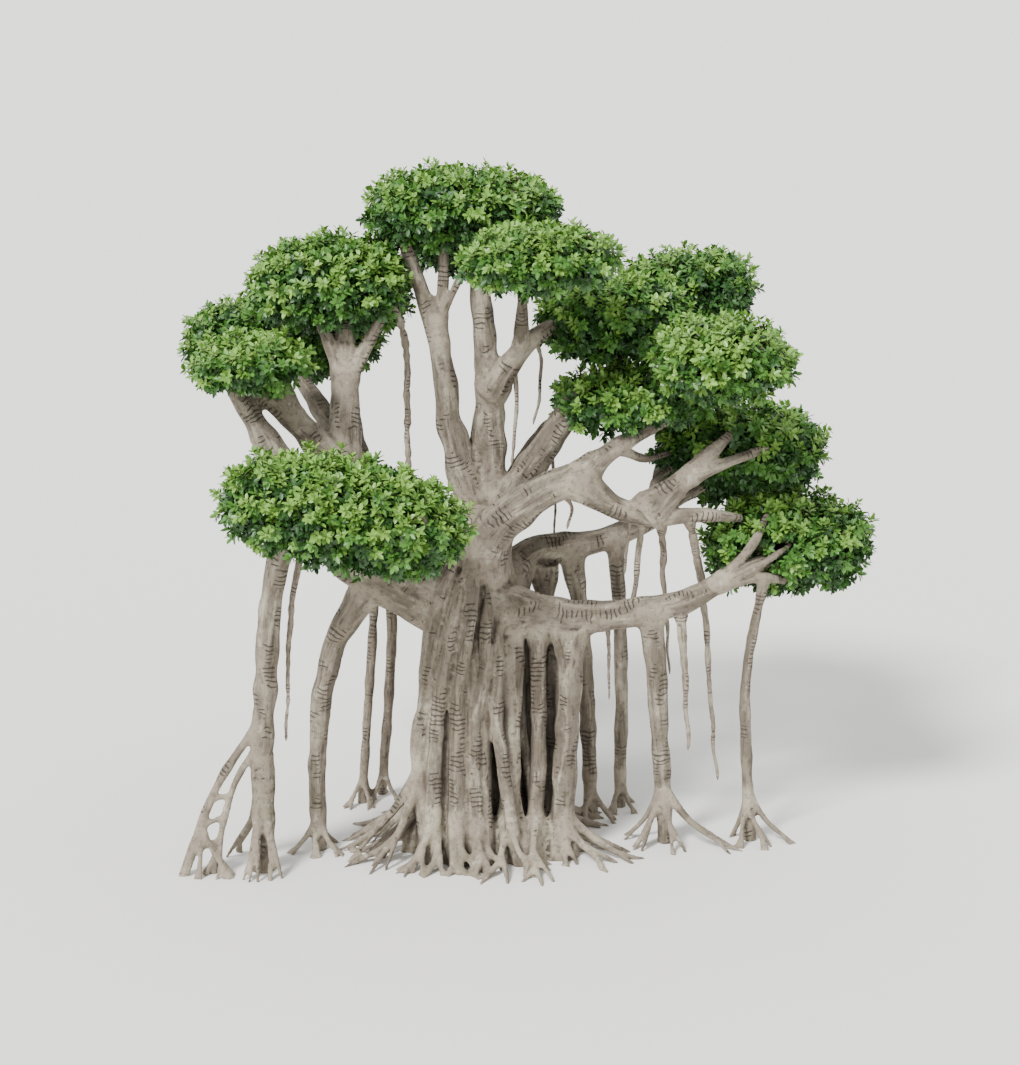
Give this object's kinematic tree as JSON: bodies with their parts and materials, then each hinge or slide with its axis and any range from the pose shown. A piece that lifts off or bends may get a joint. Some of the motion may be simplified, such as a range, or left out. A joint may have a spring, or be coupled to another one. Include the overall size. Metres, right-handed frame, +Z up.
{
  "type": "banyan tree",
  "caption": "Banyan tree: trunk of fused root columns with flared toes, long boughs carried on prop roots, hanging air roots and a crown of separate flat pads of foliage.",
  "frame": {"origin": "on the flat cut under the trunk, at ground level", "axes": "+Z up; the face of the tree that the drawing shows looks along -Y, with +X to its right"},
  "size_m": [15.5574, 12.3476, 15.3173],
  "materials": {
    "bark": "rough pale grey-brown bark",
    "root_bark": "smoother pale bark of prop and air roots",
    "foliage_light": "glossy fresh green leaves",
    "foliage_mid": "glossy mid green leaves",
    "foliage_deep": "glossy deep green leaves"
  },
  "bodies": {
    "root": {"air_root_arch": "root_bark", "air_root_left": "root_bark", "air_root_long": "root_bark", "air_root_low": "root_bark", "arch_fork": "bark", "arch_low": "bark", "arch_over": "bark", "arch_rise": "bark", "bough_left": "bark", "bough_low": "bark", "bough_second": "bark", "column_left": "root_bark", "foliage_back_left": "foliage_deep", "foliage_back_low_left": "foliage_mid", "foliage_back_low_right": "foliage_deep", "foliage_back_right": "foliage_light", "foliage_back_top": "foliage_mid", "foliage_far_left": "foliage_mid", "foliage_far_right": "foliage_light", "foliage_front_left": "foliage_light", "foliage_left": "foliage_deep", "foliage_right_1": "foliage_mid", "foliage_right_2": "foliage_deep", "foliage_right_3": "foliage_light", "foliage_right_4": "foliage_mid", "foliage_right_5": "foliage_deep", "foliage_top": "foliage_mid", "foliage_top_front": "foliage_deep", "foliage_upper_left": "foliage_light", "limb_back_left": "bark", "limb_back_low_left": "bark", "limb_back_right": "bark", "limb_back_top": "bark", "limb_far_left": "bark", "limb_front_left": "bark", "limb_left_low": "bark", "limb_left_middle": "bark", "limb_middle_right": "bark", "limb_right_front": "bark", "limb_right_rise": "bark", "prop_far_right": "root_bark", "prop_front": "root_bark", "prop_inner": "root_bark", "prop_second_1": "root_bark", "prop_second_2": "root_bark", "prop_thin_1": "root_bark", "prop_thin_2": "root_bark", "strut_left": "root_bark", "tine_arch_fork": "bark", "tine_far_left": "bark", "tine_far_right": "bark", "tine_low_down": "bark", "tine_low_up": "bark", "tine_middle_right": "bark", "tine_upright_left": "bark", "trunk": "bark", "upright_far": "bark", "upright_left": "bark", "upright_middle": "bark", "upright_right": "bark"}
  },
  "joints": []
}
